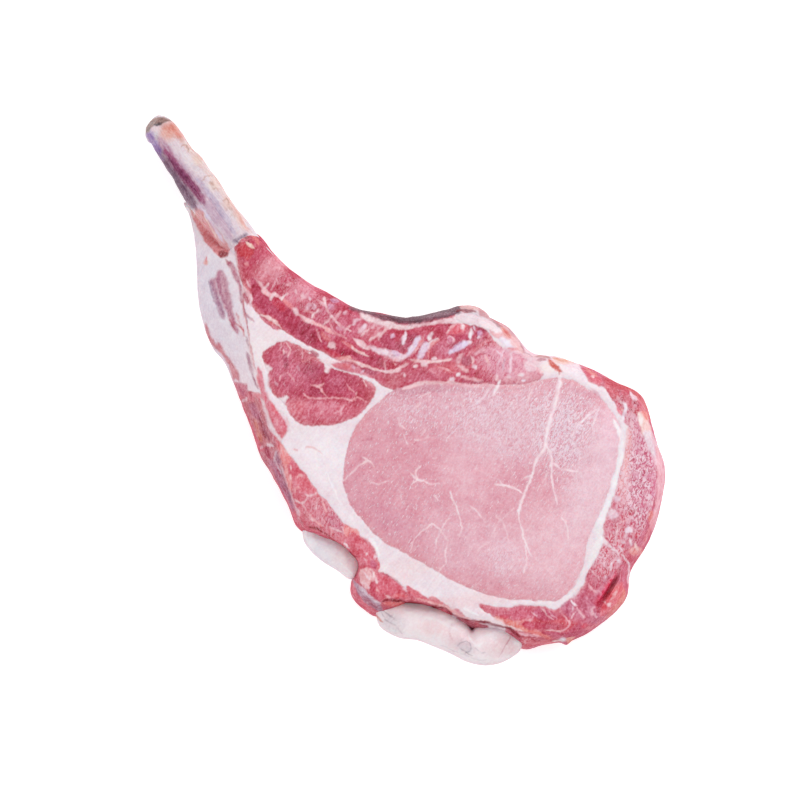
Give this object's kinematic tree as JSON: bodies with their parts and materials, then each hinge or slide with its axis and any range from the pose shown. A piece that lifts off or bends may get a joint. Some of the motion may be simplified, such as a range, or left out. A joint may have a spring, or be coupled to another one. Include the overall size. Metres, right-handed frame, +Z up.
{
  "type": "raw pork chop",
  "caption": "Raw long-bone pork rib chop lying flat: pale loin eye, darker side and cap muscles, white seam fat, fat lobes at the edge and a bare rib.",
  "frame": {"origin": "middle of the bounding box in plan, on the plane of the flat underside", "axes": "+Z up through the thickness of the slice; the bare rib points to -X +Y, the loin eye lies towards +X, the fat side towards -X -Y"},
  "size_m": [0.1886, 0.1995, 0.0266],
  "materials": {
    "bone": "damp bone with thin skin, satin",
    "pale_lean": "moist pale pink cut muscle",
    "dark_lean": "moist dark pink cut muscle",
    "cap_lean": "moist mid pink cut muscle",
    "fat": "firm white fat, satin"
  },
  "bodies": {
    "root": {"rib_bone": "bone", "loin_eye": "pale_lean", "side_muscle": "dark_lean", "rib_muscle": "dark_lean", "cap_muscle": "cap_lean", "flank_muscle": "cap_lean", "seam_fat": "fat", "fat_lobe_upper": "fat", "fat_lobe_lower": "fat"}
  },
  "joints": []
}
